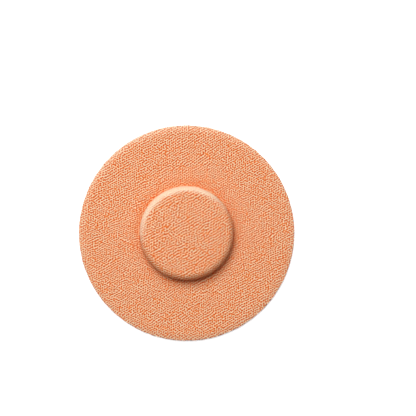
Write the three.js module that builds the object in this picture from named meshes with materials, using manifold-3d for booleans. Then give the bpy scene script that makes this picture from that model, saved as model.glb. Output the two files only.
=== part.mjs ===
// Sensor overpatch: a round patch of knitted elastic cloth that holds a round body-worn sensor to the skin.
// The cloth is formed in one piece with a raised round pocket for the sensor. Under its flange lie a ring
// of adhesive carrier and a paper release liner with a round window and a slit to peel it by, and the
// pocket's ceiling is lined with a pad that keeps the sensor off the adhesive.
// Millimetres, +Z up. The origin is the centre of the liner's underside, which lies on the table.
import * as THREE from 'three';
import { mergeVertices } from 'three/addons/utils/BufferGeometryUtils.js';
import Module from 'manifold-3d';

const wasm = await Module();
wasm.setup();

// Overall sizes: the pocket grips a round sensor 35 across and 5 high
const patchDiameter = 84;
const pocketDiameter = 35;
const pocketDepth = 5;

// Layers, from the table up
const linerThickness = 0.15;
const carrierThickness = 0.15;
const clothThickness = 1;
const padThickness = 0.4;
const glueLine = 0.05;

// The raised pocket: forming draws the cloth a little thinner over the shoulder. The wall puffs out, and
// goes back in under its widest place to a tight crease round its foot.
const shoulderThickness = 0.8;
const wallThickness = 0.75;
const shoulderWidth = 2.8;
const shoulderDrop = 2.9;
const footTuck = 0.45;
const tuckTurn = 60;
const footFillet = 0.15;
const mouthRadius = 0.4;

// The flange's rim, pressed down a little by the cutting die
const rimWidth = 3.2;
const rimDrop = 0.45;

// The carrier, the pad and the liner
const carrierInset = 0.3;
const padGap = 1.2;
const windowGap = 0.3;
const pressedBand = 2.2;
const pressDepth = 0.05;
const pressRadius = 0.3;
const slitWidth = 0.3;
const slitAngle = THREE.MathUtils.degToRad(197);

const turnSteps = 96;
const shoulderSteps = 8;
const smallCurveSteps = 4;

// Places that the sizes give
const patchRadius = patchDiameter / 2;
const pocketRadius = pocketDiameter / 2;
const carrierBottom = linerThickness;
const clothBottom = carrierBottom + carrierThickness;
const flangeTop = clothBottom + clothThickness;
const padBottom = carrierBottom + pocketDepth;
const padTop = padBottom + padThickness;
const ceiling = padTop + glueLine;
const shoulderTop = ceiling + shoulderThickness;
const crownTop = ceiling + clothThickness;
const bumpRadius = pocketRadius + wallThickness;
const footRadius = bumpRadius - footTuck;
const shoulderStart = bumpRadius - shoulderWidth;
const widestHeight = shoulderTop - shoulderDrop;
const innerShoulderDrop = ceiling - widestHeight;
const padRadius = pocketRadius - padGap;
const windowRadius = padRadius + windowGap;

// Points of an ellipse's arc about a centre, from one angle to another in degrees, both ends included.
function arc(centreR, centreZ, radiusR, radiusZ, from, to, steps) {
  return Array.from({ length: steps + 1 }, (_, i) => {
    const angle = THREE.MathUtils.degToRad(from + ((to - from) * i) / steps);
    return new THREE.Vector2(centreR + radiusR * Math.cos(angle), centreZ + radiusZ * Math.sin(angle));
  });
}

const point = (r, z) => new THREE.Vector2(r, z);

// A profile of radius and height, turned once about Z.
function turned(profile) {
  return new THREE.LatheGeometry(profile, turnSteps).rotateX(Math.PI / 2);
}

function solidOf(geometry) {
  const bare = geometry.clone();
  bare.deleteAttribute('normal');
  bare.deleteAttribute('uv');
  const merged = mergeVertices(bare, 1e-4);
  return new wasm.Manifold(new wasm.Mesh({
    numProp: 3,
    vertProperties: merged.getAttribute('position').array,
    triVerts: new Uint32Array(merged.index.array),
  }));
}

function geometryOf(solid) {
  const mesh = solid.getMesh();
  const geometry = new THREE.BufferGeometry();
  geometry.setAttribute('position', new THREE.BufferAttribute(mesh.vertProperties, 3));
  geometry.setIndex(new THREE.BufferAttribute(mesh.triVerts, 1));
  geometry.computeVertexNormals();
  return geometry;
}

// The top of the pocket: full cloth at the centre, easing to the drawn thickness where the shoulder starts.
function crownPoints() {
  return Array.from({ length: smallCurveSteps + 1 }, (_, i) => {
    const share = i / smallCurveSteps;
    return point(shoulderStart * share, crownTop - (crownTop - shoulderTop) * share ** 2);
  });
}

// The wall under its widest place: back in to the foot, and round the crease onto the flange.
function tuckedWall() {
  const bulge = footTuck / (1 - Math.cos(THREE.MathUtils.degToRad(tuckTurn)));
  const creaseTop = flangeTop + footFillet;
  const height = (widestHeight - creaseTop) / Math.sin(THREE.MathUtils.degToRad(tuckTurn));
  return [
    ...arc(bumpRadius - bulge, widestHeight, bulge, height, 0, -tuckTurn, smallCurveSteps),
    ...arc(footRadius + footFillet, creaseTop, footFillet, footFillet, 180, 270, smallCurveSteps).slice(1),
  ];
}

// The flange's top, which bends down more and more towards its cut edge.
function rimPoints() {
  return Array.from({ length: smallCurveSteps + 1 }, (_, i) => {
    const share = i / smallCurveSteps;
    return point(patchRadius - rimWidth * (1 - share), flangeTop - rimDrop * share ** 2);
  });
}

// The formed cloth's section: over the crown, down the wall, out along the flange to its cut edge,
// back along the underside, and up into the pocket.
function clothCover() {
  const outside = [
    ...crownPoints(),
    ...arc(shoulderStart, widestHeight, shoulderWidth, shoulderDrop, 90, 0, shoulderSteps).slice(1),
    ...tuckedWall().slice(1),
    ...rimPoints(),
    point(patchRadius, clothBottom),
  ];
  const inside = [
    ...arc(pocketRadius + mouthRadius, clothBottom + mouthRadius, mouthRadius, mouthRadius,
      270, 180, smallCurveSteps),
    ...arc(shoulderStart, widestHeight, pocketRadius - shoulderStart, innerShoulderDrop,
      0, 90, shoulderSteps),
    point(0, ceiling),
  ];
  return turned([...outside, ...inside].reverse());
}

// The pad is laid flat against the ceiling, and its edge turns down a little way round the inner shoulder.
function padDrop(r) {
  const past = Math.max(0, r - shoulderStart) / (pocketRadius - shoulderStart);
  return innerShoulderDrop * (1 - Math.sqrt(1 - past ** 2));
}

function centrePad() {
  const radii = Array.from({ length: smallCurveSteps + 1 },
    (_, i) => shoulderStart + ((padRadius - shoulderStart) * i) / smallCurveSteps);
  const over = radii.map((r) => point(r, padTop - padDrop(r)));
  const under = radii.map((r) => point(r, padBottom - padDrop(r))).reverse();
  return turned([point(0, padTop), ...over, ...under, point(0, padBottom)].reverse());
}

// A flat ring, with its hole left open round the pocket's mouth.
function adhesiveCarrier() {
  const inner = pocketRadius + mouthRadius;
  const outer = patchRadius - carrierInset;
  const top = clothBottom;
  return turned([
    point(inner, carrierBottom),
    point(outer, carrierBottom),
    point(outer, top),
    point(inner, top),
    point(inner, carrierBottom),
  ]);
}

// The liner is die-cut with the cloth. Its rim is pressed a little thinner, which shows as a fine ring line,
// and a slit from the window to the rim gives an edge to peel it by.
function releaseLiner() {
  const bandStart = patchRadius - pressedBand;
  const sheet = solidOf(turned([
    point(windowRadius, 0),
    point(bandStart - pressRadius, 0),
    point(bandStart, pressDepth),
    point(patchRadius, pressDepth),
    point(patchRadius, linerThickness),
    point(windowRadius, linerThickness),
    point(windowRadius, 0),
  ]));
  const slitLength = patchRadius - windowRadius + 2 * pressedBand;
  const cutter = new THREE.BoxGeometry(slitLength, slitWidth, 4 * linerThickness);
  cutter.translate((patchRadius + windowRadius) / 2, 0, 0);
  cutter.rotateZ(slitAngle);
  return geometryOf(sheet.subtract(solidOf(cutter)));
}

const materials = {
  cloth: new THREE.MeshStandardMaterial({ color: 0xe79f76, roughness: 0.92, metalness: 0 }),
  carrier: new THREE.MeshStandardMaterial({ color: 0xe4e2e6, roughness: 0.4, metalness: 0 }),
  paper: new THREE.MeshStandardMaterial({ color: 0xf0f0f2, roughness: 0.5, metalness: 0 }),
};

function piece(name, geometry, material) {
  const mesh = new THREE.Mesh(geometry, material);
  mesh.name = name;
  return mesh;
}

const overpatch = new THREE.Group();
overpatch.name = 'sensor_overpatch';
overpatch.add(
  piece('cloth_cover', clothCover(), materials.cloth),
  piece('centre_pad', centrePad(), materials.cloth),
  piece('adhesive_carrier', adhesiveCarrier(), materials.carrier),
  piece('release_liner', releaseLiner(), materials.paper),
);

export default overpatch;
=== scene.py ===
"""Looks of a sensor overpatch: a round patch of tan knitted cloth with a raised round pocket, its pad,
its white adhesive carrier and its paper release liner. It lies on a pale floor, seen from straight above."""

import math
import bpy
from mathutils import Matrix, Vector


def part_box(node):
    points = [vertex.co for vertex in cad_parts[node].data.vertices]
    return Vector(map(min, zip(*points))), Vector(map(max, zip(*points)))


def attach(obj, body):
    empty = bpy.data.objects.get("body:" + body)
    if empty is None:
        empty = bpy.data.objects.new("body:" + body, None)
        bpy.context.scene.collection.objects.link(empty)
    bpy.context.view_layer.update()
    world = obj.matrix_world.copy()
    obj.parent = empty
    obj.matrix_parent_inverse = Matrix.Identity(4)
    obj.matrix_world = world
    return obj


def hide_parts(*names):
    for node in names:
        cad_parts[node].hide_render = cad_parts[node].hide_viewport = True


bl_info = {
    "name": "Sensor overpatch",
    "version": (1, 0, 0),
    "blender": (4, 5, 0),
    "location": "View3D > Sidebar > Overpatch",
    "description": "Builds the knitted cloth, pad, carrier and liner of a round sensor overpatch",
    "category": "Object",
}

import bpy
import numpy as np
from bpy.props import FloatProperty, FloatVectorProperty, PointerProperty
from mathutils import Vector

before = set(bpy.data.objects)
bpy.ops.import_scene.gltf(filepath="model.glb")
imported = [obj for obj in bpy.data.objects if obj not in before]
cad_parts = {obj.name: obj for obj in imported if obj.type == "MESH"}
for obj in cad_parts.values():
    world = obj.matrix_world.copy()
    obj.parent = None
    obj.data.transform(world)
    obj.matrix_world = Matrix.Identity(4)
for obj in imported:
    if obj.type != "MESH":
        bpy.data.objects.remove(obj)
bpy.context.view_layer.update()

MM = 0.001
TURN = math.tau
KNIT_MAP = "Knit"
WHITE = (1.0, 1.0, 1.0, 1.0)

# The picture's side in pixels, and the width of the camera's film in mm
IMAGE_SIZE = 416
FILM_WIDTH = 36

# Half the floor's side in metres, and how far it lies under the liner
FLOOR_REACH = 3.0
FLOOR_GAP = 0.02 * MM

# How many random spots of each kind lie in a mm of the knit
STITCH_SPOTS = 1.55
FIBRE_SPOTS = 6.0
TONE_SPOTS = 0.45
SWING_SPOTS = 0.16

# Sums of the knit's waves at which the gap's colour starts and is full, and the thread's
GAP_START, GAP_END = -0.3, 1.5
THREAD_START, THREAD_END = 0.3, -1.5

# The fibres' share in the height of the material's stitches
FIBRE_SHARE = 0.35

# How far a slope faces the key light's side: where its painted highlight is palest, and where its painted
# shade starts to show and is deepest
PALEST_LEAN = 0.48
DEEP_START, DEEP_END = -0.5, -1.0

# Lengths in the flat knit, in mm: half a stitch, the width over which the stitches settle at the edge,
# and the waves of the ragged edge, of single stitches, of the rows' strength and of the lumps
HALF_STITCH = 0.42
EASE = 2.0
RAGGED_LENGTH = 4.0
WOBBLE_LENGTH = 2.8
SWING_LENGTH = 7.0
LUMP_LENGTH = 1.7

# Parts that each stitch's column and course are cut into
STITCH_PARTS = 3

# Forming stretches the knit evenly over the crown, and a higher power keeps it even nearer the foot
DRAW_POWER = 5

# How far round, in degrees, the wall turns back in under its widest place
TUCK_TURN = 60

# A foot so far off that no painted crease shade reaches the cloth
NO_FOOT = -100.0

COVER_SEED = 7
PAD_SEED = 41

cover_low, cover_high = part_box("cloth_cover")
pad_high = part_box("centre_pad")[1]


def paint(red, green, blue):
    """A colour as it looks on a screen, from 0 to 255, as the linear values that a shader takes."""
    shares = [value / 255 for value in (red, green, blue)]
    return tuple(s / 12.92 if s <= 0.04045 else ((s + 0.055) / 1.055) ** 2.4 for s in shares)


def length(name, description, default, low=0.0):
    return FloatProperty(
        name=name, description=description, default=default, min=low, unit="LENGTH", precision=5
    )


def share(name, description, default, top=1.0):
    return FloatProperty(name=name, description=description, default=default, min=0.0, max=top)


def colour(name, description, default):
    return FloatVectorProperty(
        name=name, description=description, default=default, min=0.0, max=1.0, size=3, subtype="COLOR"
    )


class KnitSizes(bpy.types.PropertyGroup):
    """The knit's stitches and its colours."""

    column: length("Column spacing", "Distance between two columns of stitches", 0.84 * MM, 0.2 * MM)
    course: length("Course spacing", "Distance between two stitches of a column", 0.92 * MM, 0.2 * MM)
    columns: share("Columns", "Strength of the upright columns", 0.8, 2.0)
    rising: share("Rising rows", "Strength of the rows that rise to the right", 1.25, 2.0)
    falling: share("Falling rows", "Strength of the rows that fall to the right", 0.75, 2.0)
    relief: length("Relief", "Height of a stitch over the gaps round it", 0.14 * MM)
    lumps: length("Lumps", "How much the stitches differ in height", 0.02 * MM)
    drift: length("Drift", "How far the columns wander from straight", 0.12 * MM)
    drift_length: length("Drift length", "Distance over which the columns wander", 9 * MM, 1 * MM)
    wobble: length("Wobble", "How far single stitches lie from their places", 0.07 * MM)
    unevenness: share("Unevenness", "How much the knit's three directions vary in strength", 0.4, 2.0)
    roughness: share("Roughness", "How much single stitches stand out by chance", 6.0, 20.0)
    thread: colour("Thread colour", "Colour of the raised threads", paint(253, 223, 182))
    cloth: colour("Cloth colour", "Colour between the threads and the gaps", paint(254, 138, 52))
    gap: colour("Gap colour", "Colour down in the gaps", paint(218, 80, 26))
    # Painted highlight: the pale colour mixed into slopes that face the key light's side.
    painted_light: colour("Nap colour", "Colour where the brushed ends of the threads show", paint(255, 242, 216))
    # Painted shade: the tint multiplied into slopes that face away from the key light and into the cloth
    # round the pocket's foot.
    painted_shade: colour("Hollow tint", "Tint against the nap and in hollows", paint(238, 200, 160))
    # The way of the painted highlight and shade, the same as the key light's azimuth.
    painted_light_way: FloatProperty(
        name="Nap way", description="Way the brushed threads lean, from +X", default=math.radians(112),
        subtype="ANGLE",
    )
    painted_highlight_strength: share("Nap strength", "How much the nap pales slopes that face its way", 0.6)
    # Pale cut rim: partly fluffed threads, partly a painted highlight along the edge.
    rim_fluff_and_highlight: share("Rim fluff", "How much the fluffed threads pale the cloth at its cut edge", 0.12)
    pale_rim_width: length("Pale rim width", "Width of the fluffed rim", 3.2 * MM, 0.1 * MM)
    # How far the painted shade in the crease at the pocket's foot reaches, and how deep all painted shade
    # is.
    crease_shade_reach: length("Crease shade reach", "How far the foot's crease deepens the colour", 5 * MM, 0.1 * MM)
    painted_shade_depth: share("Painted shade depth", "How much hollows and slopes against the nap are deepened", 0.55)


class FormSizes(bpy.types.PropertyGroup):
    """The section of the formed cloth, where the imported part's boxes don't give it."""

    flange: length("Cloth thickness", "Thickness of the cloth on the flange", 1.0 * MM, 0.1 * MM)
    shoulder: length("Shoulder thickness", "Thickness over the shoulder", 0.8 * MM, 0.1 * MM)
    wall: length("Wall thickness", "Thickness where the pocket's wall is widest", 0.75 * MM, 0.1 * MM)
    pocket: length("Pocket diameter", "Diameter inside the pocket", 35 * MM, 1 * MM)
    crown: length("Crown rise", "How much the pocket's top rises to its centre", 0.2 * MM)
    crown_stretch: share("Crown stretch", "How much forming widens the knit at the centre", 1.14, 2.0)
    slack: length("Slack", "How far forming draws the flange's knit in at the pocket's foot", 2.0 * MM)
    shoulder_width: length("Shoulder width", "Width of the rounded shoulder", 2.8 * MM, 0.1 * MM)
    shoulder_drop: length("Shoulder drop", "Height of the rounded shoulder", 2.9 * MM, 0.1 * MM)
    tuck: length("Foot tuck", "How far the wall goes back in under its widest place", 0.45 * MM)
    foot: length("Foot radius", "Radius of the crease round the pocket's foot", 0.15 * MM, 0.05 * MM)
    mouth: length("Mouth radius", "Radius round the pocket's mouth", 0.4 * MM, 0.05 * MM)
    rim_width: length("Rim width", "Width over which the flange bends down", 3.2 * MM, 0.1 * MM)
    rim_drop: length("Rim drop", "How far the flange's top bends down at its edge", 0.45 * MM)
    pad: length("Pad thickness", "Thickness of the pad", 0.4 * MM, 0.05 * MM)
    glue: length("Glue line", "Gap between the pad and the pocket's ceiling", 0.05 * MM, 0.0)
    ragged: length("Ragged edge", "How far the cut edge wanders in and out", 0.04 * MM)
    rim_relief: share("Rim relief", "Share of the stitches' height left at the cut edge", 0.35)


class PaperSizes(bpy.types.PropertyGroup):
    """The colours of the liner and the carrier."""

    liner: colour("Liner colour", "Colour of the siliconised paper", paint(240, 240, 243))
    liner_fibre: colour("Fibre colour", "Colour of the paper's darker fibres", paint(226, 227, 232))
    carrier: colour("Carrier colour", "Colour of the adhesive carrier", paint(228, 227, 231))
    carrier_fibre: colour("Carrier fibre colour", "Colour of its darker fibres", paint(212, 211, 216))


class StageSizes(bpy.types.PropertyGroup):
    """Where the patch lies in the picture, and the studio's light."""

    patch_x: FloatProperty(name="Patch across", description="Pixels from the left", default=186.6)
    patch_y: FloatProperty(name="Patch down", description="Pixels from the top", default=233.0)
    patch_radius: FloatProperty(name="Patch radius", description="Radius in pixels", default=107.64)
    camera_height: length("Camera height", "Height of the camera over the cloth", 900 * MM, 0.1)
    key_azimuth: FloatProperty(
        name="Key azimuth", description="Way to the key light from +X", default=math.radians(112),
        subtype="ANGLE",
    )
    key_height: FloatProperty(
        name="Key height", description="Key light over the horizon", default=math.radians(56),
        subtype="ANGLE",
    )
    key_distance: length("Key distance", "Distance of the key light", 1200 * MM, 0.1)
    key_size: length("Key size", "Side of the key light", 900 * MM, 0.01)
    key_power: FloatProperty(
        name="Key power", description="Power of the key light", default=15.5, unit="POWER"
    )
    fill: share("Fill", "Light from the whole room", 0.15, 2.0)
    floor: colour("Floor colour", "Colour of the pale floor", paint(236, 236, 238))
    floor_glow: share("Floor glow", "White that the camera adds to the floor", 0.55)


class OverpatchSizes(bpy.types.PropertyGroup):
    """All the settings of the overpatch's looks."""

    knit: PointerProperty(type=KnitSizes)
    form: PointerProperty(type=FormSizes)
    paper: PointerProperty(type=PaperSizes)
    stage: PointerProperty(type=StageSizes)


def settings():
    return bpy.context.scene.overpatch


# Node helpers
def node(tree, kind, inputs=(), **choices):
    """A node of that kind with its choices, each input given as a value or as another node's output."""
    made = tree.nodes.new(kind)
    for name, value in choices.items():
        setattr(made, name, value)
    for key, value in dict(inputs).items():
        if isinstance(value, bpy.types.NodeSocket):
            tree.links.new(value, made.inputs[key])
        else:
            made.inputs[key].default_value = value
    return made


def calc(tree, operation, *values):
    return node(tree, "ShaderNodeMath", dict(enumerate(values)), operation=operation).outputs[0]


def ramp(tree, value, start, end, low=0.0, high=1.0):
    """Low before start, high after end, and smooth between them."""
    inputs = {"Value": value, "From Min": start, "From Max": end, "To Min": low, "To Max": high}
    return node(tree, "ShaderNodeMapRange", inputs, interpolation_type="SMOOTHSTEP").outputs[0]


def mix(tree, amount, first, second, blend="MIX"):
    """Colour first, with the amount of colour second."""
    made = node(tree, "ShaderNodeMix", data_type="RGBA", blend_type=blend)
    sockets = [s for s in made.inputs if s.enabled]
    for socket, value in zip(sockets, (amount, first, second)):
        if isinstance(value, bpy.types.NodeSocket):
            tree.links.new(value, socket)
        else:
            socket.default_value = value if isinstance(value, float) else (*value, 1.0)
    return next(s for s in made.outputs if s.enabled)


def noise(tree, place, scale, detail=2.0, roughness=0.5):
    """Random values round 0.5, from a place in mm and a scale for each mm."""
    inputs = {"Vector": place, "Scale": scale, "Detail": detail, "Roughness": roughness}
    return node(tree, "ShaderNodeTexNoise", inputs).outputs["Fac"]


def shifted(tree, place, *step):
    return node(tree, "ShaderNodeVectorMath", {0: place, 1: step}, operation="ADD").outputs[0]


def scaled(tree, vector, size):
    return node(tree, "ShaderNodeVectorMath", {0: vector, "Scale": size}, operation="SCALE").outputs[0]


def group_tree(name, vectors, values, results):
    """A new shader node group that takes the named vectors and values and puts out the named results,
    with the sockets of its input and output nodes."""
    tree = bpy.data.node_groups.new(name, "ShaderNodeTree")
    for socket in vectors:
        tree.interface.new_socket(socket, in_out="INPUT", socket_type="NodeSocketVector")
    for socket in values:
        tree.interface.new_socket(socket, in_out="INPUT", socket_type="NodeSocketFloat")
    for socket in results:
        tree.interface.new_socket(socket, in_out="OUTPUT", socket_type="NodeSocketFloat")
    return tree, tree.nodes.new("NodeGroupInput").outputs, tree.nodes.new("NodeGroupOutput").inputs


def uneven_stitches(tree, place):
    """How much each spot stands out from those round it, so that no spots larger than a stitch show."""
    here = noise(tree, place, STITCH_SPOTS, 0.0)
    steps = ((HALF_STITCH, 0, 0), (-HALF_STITCH, 0, 0), (0, HALF_STITCH, 0), (0, -HALF_STITCH, 0))
    round_it = [noise(tree, shifted(tree, place, *step), STITCH_SPOTS, 0.0) for step in steps]
    total = round_it[0]
    for value in round_it[1:]:
        total = calc(tree, "ADD", total, value)
    return calc(tree, "SUBTRACT", here, calc(tree, "MULTIPLY", total, 1 / len(steps)))


def knit_group():
    """Staggered stitches: three rows of waves that cross, with gaps where their crests meet."""
    if "Knit stitches" in bpy.data.node_groups:
        return bpy.data.node_groups["Knit stitches"]
    tree, given, out = group_tree(
        "Knit stitches",
        ("Place",),
        ("Column", "Course", "Columns", "Rising", "Falling", "Unevenness", "Roughness"),
        ("Gap", "Thread", "Tone", "Height"),
    )
    place = given["Place"]
    apart = node(tree, "ShaderNodeSeparateXYZ", {0: place}).outputs
    across = calc(tree, "DIVIDE", apart[0], given["Column"])
    along = calc(tree, "DIVIDE", apart[1], given["Course"])
    half = calc(tree, "MULTIPLY", across, 0.5)
    ways = (across, calc(tree, "SUBTRACT", along, half), calc(tree, "ADD", along, half))
    fibre = noise(tree, place, FIBRE_SPOTS, 2.0, 0.6)
    total = calc(tree, "MULTIPLY", uneven_stitches(tree, place), given["Roughness"])
    for number, (way, strength) in enumerate(zip(ways, ("Columns", "Rising", "Falling"))):
        wave = calc(tree, "COSINE", calc(tree, "MULTIPLY", way, TURN))
        swing = noise(tree, shifted(tree, place, 37.0 * number, 11.0 * number, 0.0), SWING_SPOTS, 1.0)
        swing = calc(tree, "MULTIPLY", calc(tree, "SUBTRACT", swing, 0.5), given["Unevenness"])
        swing = calc(tree, "MULTIPLY_ADD", swing, 2.0, 1.0)
        wave = calc(tree, "MULTIPLY", wave, calc(tree, "MULTIPLY", swing, given[strength]))
        total = calc(tree, "ADD", total, wave)
    gap = ramp(tree, total, GAP_START, GAP_END)
    thread = ramp(tree, total, THREAD_START, THREAD_END)
    tone = noise(tree, shifted(tree, place, 17.0, 29.0, 0.0), TONE_SPOTS, 4.0, 0.7)
    height = calc(tree, "MULTIPLY_ADD", fibre, FIBRE_SHARE, calc(tree, "SUBTRACT", thread, gap))
    for name, value in (("Gap", gap), ("Thread", thread), ("Tone", tone), ("Height", height)):
        tree.links.new(value, out[name])
    return tree


def painted_light_group():
    """Painted light and shade on the cloth: a painted highlight on slopes that face the key light's side,
    and a pale cut rim that is partly fluffed threads and partly a painted highlight; painted shade on slopes
    that face away and round the crease at the pocket's foot.
    Radii are in the flat knit, in mm."""
    if "Painted light and shade" in bpy.data.node_groups:
        return bpy.data.node_groups["Painted light and shade"]
    tree, given, out = group_tree(
        "Painted light and shade",
        ("Place", "Lean"),
        ("Strength", "Rim", "Pale rim width", "Pale rim", "Foot", "Crease shade reach", "Painted shade depth"),
        ("Pale", "Deep"),
    )
    slope = {0: node(tree, "ShaderNodeTexCoord").outputs["Normal"], 1: given["Lean"]}
    lean = node(tree, "ShaderNodeVectorMath", slope, operation="DOT_PRODUCT").outputs["Value"]
    # Painted highlight on slopes that face the key light's side, painted shade on slopes that face away.
    painted_slope_highlight = calc(tree, "MULTIPLY", ramp(tree, lean, 0.0, PALEST_LEAN), given["Strength"])
    painted_slope_shade = ramp(tree, lean, DEEP_START, DEEP_END)
    radius = node(tree, "ShaderNodeVectorMath", {0: given["Place"]}, operation="LENGTH").outputs["Value"]
    # Pale cut rim: fluffed threads, and a painted highlight along the edge.
    from_rim = calc(tree, "DIVIDE", calc(tree, "SUBTRACT", given["Rim"], radius), given["Pale rim width"])
    pale_rim = calc(tree, "MULTIPLY", ramp(tree, from_rim, 1.0, 0.0), given["Pale rim"])
    # Painted shade in and round the crease at the pocket's foot.
    from_foot = calc(tree, "ABSOLUTE", calc(tree, "SUBTRACT", radius, given["Foot"]))
    painted_shade = ramp(tree, calc(tree, "DIVIDE", from_foot, given["Crease shade reach"]), 1.0, 0.0)
    tree.links.new(calc(tree, "MAXIMUM", painted_slope_highlight, pale_rim), out["Pale"])
    deep = calc(tree, "MULTIPLY", calc(tree, "MAXIMUM", painted_slope_shade, painted_shade), given["Painted shade depth"])
    tree.links.new(deep, out["Deep"])
    return tree


def paper_group():
    """Short paper fibres, as a mask of the darker ones and a height."""
    if "Paper fibres" in bpy.data.node_groups:
        return bpy.data.node_groups["Paper fibres"]
    tree, given, out = group_tree("Paper fibres", ("Place",), ("Fineness",), ("Fibre", "Height"))
    place = scaled(tree, given["Place"], given["Fineness"])
    stretched = node(tree, "ShaderNodeMapping", {"Vector": place, "Scale": (1.0, 0.35, 1.0)}).outputs[0]
    streaks = noise(tree, stretched, 1.6, 4.0, 0.7)
    clouds = noise(tree, place, 0.22, 2.0)
    blend = calc(tree, "MULTIPLY_ADD", streaks, 0.6, calc(tree, "MULTIPLY", clouds, 0.4))
    tree.links.new(ramp(tree, blend, 0.4, 0.65), out["Fibre"])
    tree.links.new(streaks, out["Height"])
    return tree


def placed_group(tree, group, inputs):
    return node(tree, "ShaderNodeGroup", inputs, node_tree=group).outputs


def bumped(tree, height, strength, distance):
    inputs = {"Height": height, "Strength": strength, "Distance": distance}
    return node(tree, "ShaderNodeBump", inputs).outputs[0]


def new_material(name):
    """A material with its node tree and its one shader."""
    made = bpy.data.materials.new(name)
    made.use_nodes = True
    return made, made.node_tree, made.node_tree.nodes["Principled BSDF"]


def knit_material(name, sheen, tone_depth, rim, foot):
    """Tan knit: dark gaps, cream threads, tones that drift over the cloth, a painted highlight and painted
    shade on slopes by the way they face the key light, painted shade round the pocket's foot, and a pale rim
    that is partly fluffed threads and partly a painted highlight.
    rim and foot are the radii in the flat knit, in mm, of the cut edge and of the crease at the pocket's
    foot."""
    knit = settings().knit
    made, tree, shader = new_material(name)
    place = node(tree, "ShaderNodeUVMap", uv_map=KNIT_MAP).outputs[0]
    stitches = placed_group(
        tree,
        knit_group(),
        {
            "Place": place,
            "Column": knit.column / MM,
            "Course": knit.course / MM,
            "Columns": knit.columns,
            "Rising": knit.rising,
            "Falling": knit.falling,
            "Unevenness": knit.unevenness,
            "Roughness": knit.roughness,
        },
    )
    tone = ramp(tree, stitches["Tone"], 0.3, 0.7, 1.0 - tone_depth, 1.0 + tone_depth)
    base = mix(tree, stitches["Thread"], knit.cloth, knit.thread)
    base = mix(tree, stitches["Gap"], base, knit.gap)
    lean = (math.cos(knit.painted_light_way), math.sin(knit.painted_light_way), 0.0)
    painted_light = placed_group(
        tree,
        painted_light_group(),
        {
            "Place": place,
            "Lean": lean,
            "Strength": knit.painted_highlight_strength,
            "Rim": rim,
            "Pale rim width": knit.pale_rim_width / MM,
            "Pale rim": knit.rim_fluff_and_highlight,
            "Foot": foot,
            "Crease shade reach": knit.crease_shade_reach / MM,
            "Painted shade depth": knit.painted_shade_depth,
        },
    )
    # Painted highlight on slopes facing the key light and along the rim, then painted shade on slopes facing
    # away and round the pocket's foot.
    base = mix(tree, painted_light["Pale"], base, knit.painted_light)
    base = mix(tree, painted_light["Deep"], base, knit.painted_shade, "MULTIPLY")
    normal = bumped(tree, stitches["Height"], 0.5, 0.05 * MM)
    tree.links.new(scaled(tree, base, tone), shader.inputs["Base Color"])
    tree.links.new(normal, shader.inputs["Normal"])
    shader.inputs["Roughness"].default_value = 0.55
    shader.inputs["Specular IOR Level"].default_value = 0.1
    shader.inputs["Sheen Weight"].default_value = sheen
    shader.inputs["Sheen Roughness"].default_value = 0.3
    shader.inputs["Sheen Tint"].default_value = (*paint(255, 236, 220), 1.0)
    return made


def paper_material(name, light, dark, roughness, coat, fineness):
    """Pale sheet with faint fibres."""
    made, tree, shader = new_material(name)
    place = scaled(tree, node(tree, "ShaderNodeTexCoord").outputs["Object"], 1 / MM)
    fibres = placed_group(tree, paper_group(), {"Place": place, "Fineness": fineness})
    rougher = ramp(tree, fibres["Fibre"], 0.0, 1.0, roughness, roughness + 0.12)
    normal = bumped(tree, fibres["Height"], 0.15, 0.03 * MM)
    tree.links.new(mix(tree, fibres["Fibre"], light, dark), shader.inputs["Base Color"])
    tree.links.new(rougher, shader.inputs["Roughness"])
    tree.links.new(normal, shader.inputs["Normal"])
    shader.inputs["Coat Weight"].default_value = coat
    shader.inputs["Coat Roughness"].default_value = 0.3
    return made


# Cloth shapes
def smooth_field(x, y, wavelength, seed, waves=16):
    """A smooth random field of about unit size, as a sum of plane waves of about one length."""
    draw = np.random.default_rng(seed)
    angle = draw.uniform(0, TURN, waves)
    phase = draw.uniform(0, TURN, waves)
    pitch = wavelength * draw.uniform(0.7, 1.5, waves)
    turns = (np.outer(x, np.cos(angle)) + np.outer(y, np.sin(angle))) / pitch
    return np.cos(TURN * turns + phase).sum(1) * math.sqrt(2 / waves)


def arc(centre, radii, start, end, steps=10):
    """Points of radius and height on an ellipse's arc, from one angle to another in degrees."""
    angle = np.radians(np.linspace(start, end, steps + 1))
    return np.stack([centre[0] + radii[0] * np.cos(angle), centre[1] + radii[1] * np.sin(angle)], 1)


def lattice(reach, column, course, parts):
    """Flat points that part each stitch of the staggered knit, out to a circle, and their triangles.
    Points near the circle are moved onto it, so that the sheet ends in a clean ring."""
    step_x, step_y = column / parts, course / parts
    half_x, half_y = math.ceil(reach / step_x) + 1, math.ceil(reach / step_y) + 1
    column_number, row_number = np.meshgrid(
        np.arange(-half_x, half_x + 1), np.arange(-half_y, half_y + 1), indexing="ij"
    )
    odd = column_number % 2
    x, y = column_number * step_x, (row_number + 0.5 * odd) * step_y
    index = np.arange(x.size).reshape(x.shape)
    here, above = index[:-1, :-1], index[:-1, 1:]
    right, right_above = index[1:, :-1], index[1:, 1:]
    even = (odd[:-1, :-1] == 0)[..., None]
    first = np.where(even, np.stack([here, right, above], -1), np.stack([here, right, right_above], -1))
    second = np.where(
        even, np.stack([above, right, right_above], -1), np.stack([here, right_above, above], -1)
    )
    triangles = np.concatenate([first.reshape(-1, 3), second.reshape(-1, 3)])
    flat = np.stack([x.ravel(), y.ravel()], 1)
    radius = np.hypot(*flat.T)
    near = np.abs(radius - reach) <= 0.5 * math.hypot(step_x, step_y)
    flat[near] *= (reach / radius[near])[:, None]
    kept = (near | (radius < reach))[triangles].all(1)
    triangles = triangles[kept]
    used, triangles = np.unique(triangles, return_inverse=True)
    return flat[used], triangles.reshape(-1, 3), near[used]


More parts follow.
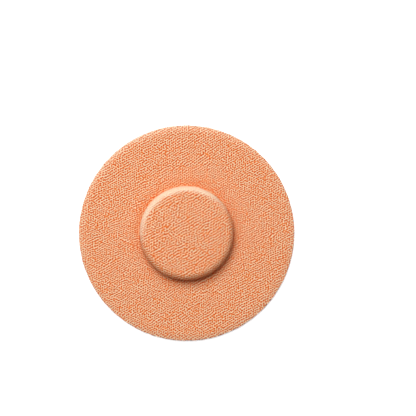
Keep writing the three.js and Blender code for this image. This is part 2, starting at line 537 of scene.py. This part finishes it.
def ring_order(flat, triangles, on_ring):
    """The ring's points in order round the circle, checked against the sheet's open edges."""
    sides = [triangles[:, pair] for pair in ([0, 1], [1, 2], [2, 0])]
    edges, count = np.unique(np.sort(np.concatenate(sides), 1), axis=0, return_counts=True)
    open_edges = {tuple(e) for e in edges[count == 1]}
    ring = np.unique(np.array(sorted(open_edges)))
    ring = ring[np.argsort(np.arctan2(flat[ring, 1], flat[ring, 0]))]
    expected = {tuple(sorted(pair)) for pair in zip(ring, np.roll(ring, -1))}
    if expected != open_edges or not on_ring[ring].all():
        raise RuntimeError("the knit's edge isn't one clean ring")
    return ring


def relief(place, knit, seed):
    """Height of the stitches over the cloth's smooth face: the same three waves as the material's."""
    across, along = place[:, 0] / (knit.column / MM), place[:, 1] / (knit.course / MM)
    strengths = (knit.columns, knit.rising, knit.falling)
    total = np.zeros(len(place))
    for number, way in enumerate((across, along - across / 2, along + across / 2)):
        swing = 1 + 0.3 * smooth_field(*place.T, SWING_LENGTH, seed + number)
        total += strengths[number] * np.cos(TURN * way) * swing
    lumps = smooth_field(*place.T, LUMP_LENGTH, seed + 5)
    return knit.relief / MM * (0.3 - (total / sum(strengths) + 0.5) / 1.5) + knit.lumps / MM * lumps


def joined(*stretches):
    """Stretches of a section joined to one line, without the points that repeat."""
    line = np.concatenate([np.reshape(stretch, (-1, 2)) for stretch in stretches])
    step = np.hypot(*np.diff(line, axis=0).T)
    return line[np.concatenate([[True], step > 1e-6])]


def knit_reach(run, face, foot):
    """How far out in the flat knit each point of a section lies, from its way along the section. Up to
    the point numbered foot the knit is stretched to fit the longer way: by the crown's stretch at the
    centre, and near the foot by what is left over."""
    if foot is None:
        return run
    form = settings().form
    foot_radius, foot_run = face[foot, 0], run[foot]
    foot_reach = foot_radius + form.slack / MM
    rim_reach = foot_radius + run[-1] - foot_run
    part = np.minimum(run / foot_run, 1)
    centre = foot_run / (foot_reach * form.crown_stretch)
    drawn = foot_reach * (centre * part - (centre - 1) * part**DRAW_POWER)
    on_flange = (run - foot_run) / (run[-1] - foot_run)
    return np.where(run <= foot_run, drawn, foot_reach + (rim_reach - foot_reach) * on_flange)


def knit_sheet(name, face, back, side, seed, foot=None):
    """A closed sheet of knit turned round Z. face runs out from the centre over the knitted side, and
    back runs in from the edge over the plain side, both as radius and height in mm. side is 1 where the
    knitted side looks up and -1 where it looks down. foot numbers the face's point at the pocket's foot."""
    knit, form = settings().knit, settings().form
    run = np.concatenate([[0], np.cumsum(np.hypot(*np.diff(face, axis=0).T))])
    reach = knit_reach(run, face, foot)
    slope = np.gradient(face, run, axis=0)
    slope /= np.hypot(*slope.T)[:, None]
    outward = np.stack([-slope[:, 1], slope[:, 0]], 1) * side

    flat, triangles, on_ring = lattice(reach[-1], knit.column / MM, knit.course / MM, STITCH_PARTS)
    ring = ring_order(flat, triangles, on_ring)
    inside = np.clip((reach[-1] - np.hypot(*flat.T)) / EASE, 0, 1)
    drift = np.stack([smooth_field(*flat.T, knit.drift_length / MM, seed + 10 + k) for k in (0, 1)], 1)
    moved = flat + drift * (knit.drift / MM * inside)[:, None]
    distance = np.minimum(np.hypot(*moved.T), reach[-1])
    angle = np.arctan2(moved[:, 1], moved[:, 0])
    wobble = np.stack([smooth_field(*flat.T, WOBBLE_LENGTH, seed + 30 + k) for k in (0, 1)], 1)
    place = flat + knit.wobble / MM * wobble
    height = relief(place, knit, seed) * (form.rim_relief + (1 - form.rim_relief) * inside)
    waver = form.ragged / MM * smooth_field(*flat.T, RAGGED_LENGTH, seed + 20) * (1 - inside)
    radius, level, out, up = (np.interp(distance, reach, values) for values in (*face.T, *outward.T))
    radius = radius + out * height + waver
    level = level + up * height

    rows = [np.stack([radius * np.cos(angle), radius * np.sin(angle), level], 1)]
    maps = [place]
    around = angle[ring]
    back_run = np.concatenate([[0], np.cumsum(np.hypot(*np.diff(back, axis=0).T))])
    back_reach = reach[-1] * (1 - back_run / back_run[-1])
    for number, (row_radius, row_level) in enumerate(back[:-1]):
        wide = row_radius + (waver[ring] if number == 0 else 0)
        flat_row = np.stack([wide * np.cos(around), wide * np.sin(around)], 1)
        rows.append(np.column_stack([flat_row, np.full(len(ring), row_level)]))
        maps.append(back_reach[number] * np.stack([np.cos(around), np.sin(around)], 1))
    rows.append(np.array([[0, 0, back[-1][1]]]))
    maps.append(np.zeros((1, 2)))

    count, loops = len(ring), [ring]
    loops += [len(flat) + count * k + np.arange(count) for k in range(len(back) - 1)]
    centre = len(flat) + count * (len(back) - 1)
    faces = triangles.tolist()
    for upper, lower in zip(loops, loops[1:]):
        faces += np.stack([upper, lower, np.roll(lower, -1), np.roll(upper, -1)], 1).tolist()
    faces += np.stack([loops[-1], np.full(count, centre), np.roll(loops[-1], -1)], 1).tolist()
    if side < 0:
        faces = [face_points[::-1] for face_points in faces]
    return knit_object(name, np.concatenate(rows), np.concatenate(maps), faces)


def knit_object(name, points, places, faces):
    """The mesh object, with the knit's flat place of each point, in mm, as its map."""
    mesh = bpy.data.meshes.new(name)
    mesh.from_pydata((points * MM).tolist(), [], faces)
    mesh.polygons.foreach_set("use_smooth", np.ones(len(mesh.polygons), bool))
    corner = np.zeros(len(mesh.loops), np.int32)
    mesh.loops.foreach_get("vertex_index", corner)
    layer = mesh.uv_layers.new(name=KNIT_MAP)
    layer.uv.foreach_set("vector", places[corner].astype(np.float32).ravel())
    mesh.update()
    made = bpy.data.objects.new(name, mesh)
    bpy.context.scene.collection.objects.link(made)
    return made


def cover_section():
    """The formed cloth's two sides: over the crown and out to the rim, and back into the pocket."""
    form = settings().form
    edge, bottom, top = (value / MM for value in (cover_high.x, cover_low.z, cover_high.z))
    flange_top = bottom + form.flange / MM
    pocket, wall, foot, mouth = (v / MM for v in (form.pocket / 2, form.wall, form.foot, form.mouth))
    width, drop = form.shoulder_width / MM, form.shoulder_drop / MM
    bump, tuck = pocket + wall, form.tuck / MM
    start, shoulder_top = bump - width, top - form.crown / MM
    widest = shoulder_top - drop
    steps = np.linspace(0, 1, 12)
    crown = np.stack([start * steps, top - (top - shoulder_top) * steps**2], 1)
    rim_width, rim_drop = form.rim_width / MM, form.rim_drop / MM
    bulge = tuck / (1 - math.cos(math.radians(TUCK_TURN)))
    tuck_height = (widest - flange_top - foot) / math.sin(math.radians(TUCK_TURN))
    pocket_side = joined(
        crown,
        arc((start, widest), (width, drop), 90, 0),
        arc((bump - bulge, widest), (bulge, tuck_height), 0, -TUCK_TURN),
        arc((bump - tuck + foot, flange_top + foot), (foot, foot), 180, 270, 4),
    )
    rim = np.stack([edge - rim_width * (1 - steps), flange_top - rim_drop * steps**2], 1)
    face = joined(pocket_side, rim)
    ceiling = (pad_high.z + form.glue) / MM
    inner_drop = drop - form.shoulder / MM
    back = joined(
        (edge, bottom),
        (edge - rim_width, bottom),
        arc((pocket + mouth, bottom + mouth), (mouth, mouth), 270, 180, 4),
        arc((start, ceiling - inner_drop), (pocket - start, inner_drop), 0, 90, 6),
        (start / 2, ceiling),
        (0, ceiling),
    )
    return face, back, len(pocket_side) - 1


def pad_section():
    """The pad's two sides: the knitted one against the sensor, and the plain one against the ceiling."""
    form = settings().form
    edge, top, thickness = pad_high.x / MM, pad_high.z / MM, form.pad / MM
    pocket, drop = form.pocket / 2 / MM, (form.shoulder_drop - form.shoulder) / MM
    start = pocket + (form.wall - form.shoulder_width) / MM
    radii = np.linspace(start, edge, 5)
    turned_down = drop * (1 - np.sqrt(1 - ((radii - start) / (pocket - start)) ** 2))
    face = joined((0, top - thickness), np.stack([radii, top - thickness - turned_down], 1))
    back = joined(np.stack([radii, top - turned_down], 1)[::-1], (start / 2, top), (0, top))
    return face, back


def dress(piece, material):
    """Gives a piece its only material."""
    piece.data.materials.clear()
    piece.data.materials.append(material)


class OVERPATCH_OT_stage(bpy.types.Operator):
    """Makes the floor, the lights, the room's light and the camera"""

    bl_idname = "overpatch.stage"
    bl_label = "Stage"

    def execute(self, context):
        stage = settings().stage
        make_floor(stage)
        make_room(stage)
        make_key_light(stage)
        make_camera(stage)
        context.scene.view_settings.view_transform = "Standard"
        return {"FINISHED"}


def make_floor(stage):
    """A wide pale floor that keeps the shadow, and that the camera sees as white where none falls. It
    lies a hair under the liner, so that the two aren't one face."""
    ways = ((-1, -1), (1, -1), (1, 1), (-1, 1))
    corners = [(x * FLOOR_REACH, y * FLOOR_REACH, -FLOOR_GAP) for x, y in ways]
    mesh = bpy.data.meshes.new("floor")
    mesh.from_pydata(corners, [], [(0, 1, 2, 3)])
    floor = bpy.data.objects.new("floor", mesh)
    bpy.context.scene.collection.objects.link(floor)
    made, tree, shader = new_material("Pale floor")
    seen = node(tree, "ShaderNodeLightPath").outputs["Is Camera Ray"]
    tree.links.new(calc(tree, "MULTIPLY", seen, stage.floor_glow), shader.inputs["Emission Strength"])
    shader.inputs["Base Color"].default_value = (*stage.floor, 1.0)
    shader.inputs["Emission Color"].default_value = WHITE
    shader.inputs["Roughness"].default_value = 0.9
    shader.inputs["Specular IOR Level"].default_value = 0.0
    mesh.materials.append(made)


def make_room(stage):
    """Even light from all round. What looks past the floor sees white."""
    world = bpy.data.worlds.new("Room")
    bpy.context.scene.world = world
    world.use_nodes = True
    tree = world.node_tree
    back = tree.nodes["Background"]
    seen = node(tree, "ShaderNodeLightPath").outputs["Is Camera Ray"]
    strength = calc(tree, "MULTIPLY_ADD", seen, 1.0 - stage.fill, stage.fill)
    tree.links.new(strength, back.inputs["Strength"])
    back.inputs["Color"].default_value = WHITE


def make_key_light(stage):
    """One square soft light, aimed at the patch from its upper left."""
    lamp = bpy.data.lights.new("Key light", "AREA")
    lamp.shape = "SQUARE"
    lamp.size = stage.key_size
    lamp.energy = stage.key_power
    key = bpy.data.objects.new("Key light", lamp)
    azimuth, height = stage.key_azimuth, stage.key_height
    flat = math.cos(height)
    away = Vector((flat * math.cos(azimuth), flat * math.sin(azimuth), math.sin(height)))
    key.location = away * stage.key_distance
    key.rotation_euler = away.to_track_quat("Z", "Y").to_euler()
    bpy.context.scene.collection.objects.link(key)


def make_camera(stage):
    """Looks straight down, with the patch where the picture has it."""
    metres_a_pixel = cover_high.x / stage.patch_radius
    view = bpy.data.cameras.new("Camera")
    view.sensor_width = FILM_WIDTH
    view.lens = FILM_WIDTH * stage.camera_height / (IMAGE_SIZE * metres_a_pixel)
    camera = bpy.data.objects.new("Camera", view)
    middle = IMAGE_SIZE / 2
    camera.location = (
        (middle - stage.patch_x) * metres_a_pixel,
        (stage.patch_y - middle) * metres_a_pixel,
        cover_low.z + stage.camera_height,
    )
    view.clip_start, view.clip_end = 0.01, 20.0
    bpy.context.scene.collection.objects.link(camera)
    bpy.context.scene.camera = camera


class OVERPATCH_OT_cloth_cover(bpy.types.Operator):
    """Makes the formed knitted cloth with its raised round pocket"""

    bl_idname = "overpatch.cloth_cover"
    bl_label = "Cloth cover"

    def execute(self, context):
        face, back, foot = cover_section()
        cover = knit_sheet("knit_cover", face, back, 1, COVER_SEED, foot)
        foot_reach = face[foot, 0] + settings().form.slack / MM
        dress(cover, knit_material("Tan knit", 0.0, 0.03, cover_high.x / MM, foot_reach))
        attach(cover, "root")
        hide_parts("cloth_cover")
        return {"FINISHED"}


class OVERPATCH_OT_centre_pad(bpy.types.Operator):
    """Makes the thin knitted pad that lines the pocket's ceiling"""

    bl_idname = "overpatch.centre_pad"
    bl_label = "Centre pad"

    def execute(self, context):
        face, back = pad_section()
        pad = knit_sheet("knit_pad", face, back, -1, PAD_SEED)
        dress(pad, knit_material("Pad knit", 0.4, 0.05, pad_high.x / MM, NO_FOOT))
        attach(pad, "root")
        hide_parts("centre_pad")
        return {"FINISHED"}


class OVERPATCH_OT_liner_and_carrier(bpy.types.Operator):
    """Gives the paper liner and the adhesive carrier their finish"""

    bl_idname = "overpatch.liner_and_carrier"
    bl_label = "Liner and carrier"

    def execute(self, context):
        paper = settings().paper
        liner = paper_material("Release paper", paper.liner, paper.liner_fibre, 0.42, 0.25, 1.0)
        carrier = paper_material("Adhesive carrier", paper.carrier, paper.carrier_fibre, 0.3, 0.5, 1.6)
        dress(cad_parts["release_liner"], liner)
        dress(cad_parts["adhesive_carrier"], carrier)
        return {"FINISHED"}


class OVERPATCH_PT_sidebar(bpy.types.Panel):
    """Lists the overpatch's settings and makes its pieces"""

    bl_idname = "OVERPATCH_PT_sidebar"
    bl_label = "Sensor overpatch"
    bl_space_type = "VIEW_3D"
    bl_region_type = "UI"
    bl_category = "Overpatch"

    def draw(self, context):
        for title in ("knit", "form", "paper", "stage"):
            values = getattr(context.scene.overpatch, title)
            box = self.layout.box()
            box.label(text=title.capitalize())
            for name in values.__annotations__:
                box.prop(values, name)
        for operator in PIECES:
            self.layout.operator(operator.bl_idname)


PIECES = (
    OVERPATCH_OT_stage,
    OVERPATCH_OT_cloth_cover,
    OVERPATCH_OT_centre_pad,
    OVERPATCH_OT_liner_and_carrier,
)
CLASSES = (KnitSizes, FormSizes, PaperSizes, StageSizes, OverpatchSizes, *PIECES, OVERPATCH_PT_sidebar)


def register():
    for each in CLASSES:
        bpy.utils.register_class(each)
    bpy.types.Scene.overpatch = PointerProperty(type=OverpatchSizes)


def unregister():
    del bpy.types.Scene.overpatch
    for each in reversed(CLASSES):
        bpy.utils.unregister_class(each)


def main():
    register()
    bpy.ops.overpatch.stage()
    bpy.ops.overpatch.cloth_cover()
    bpy.ops.overpatch.centre_pad()
    bpy.ops.overpatch.liner_and_carrier()


if __name__ == "__main__":
    main()
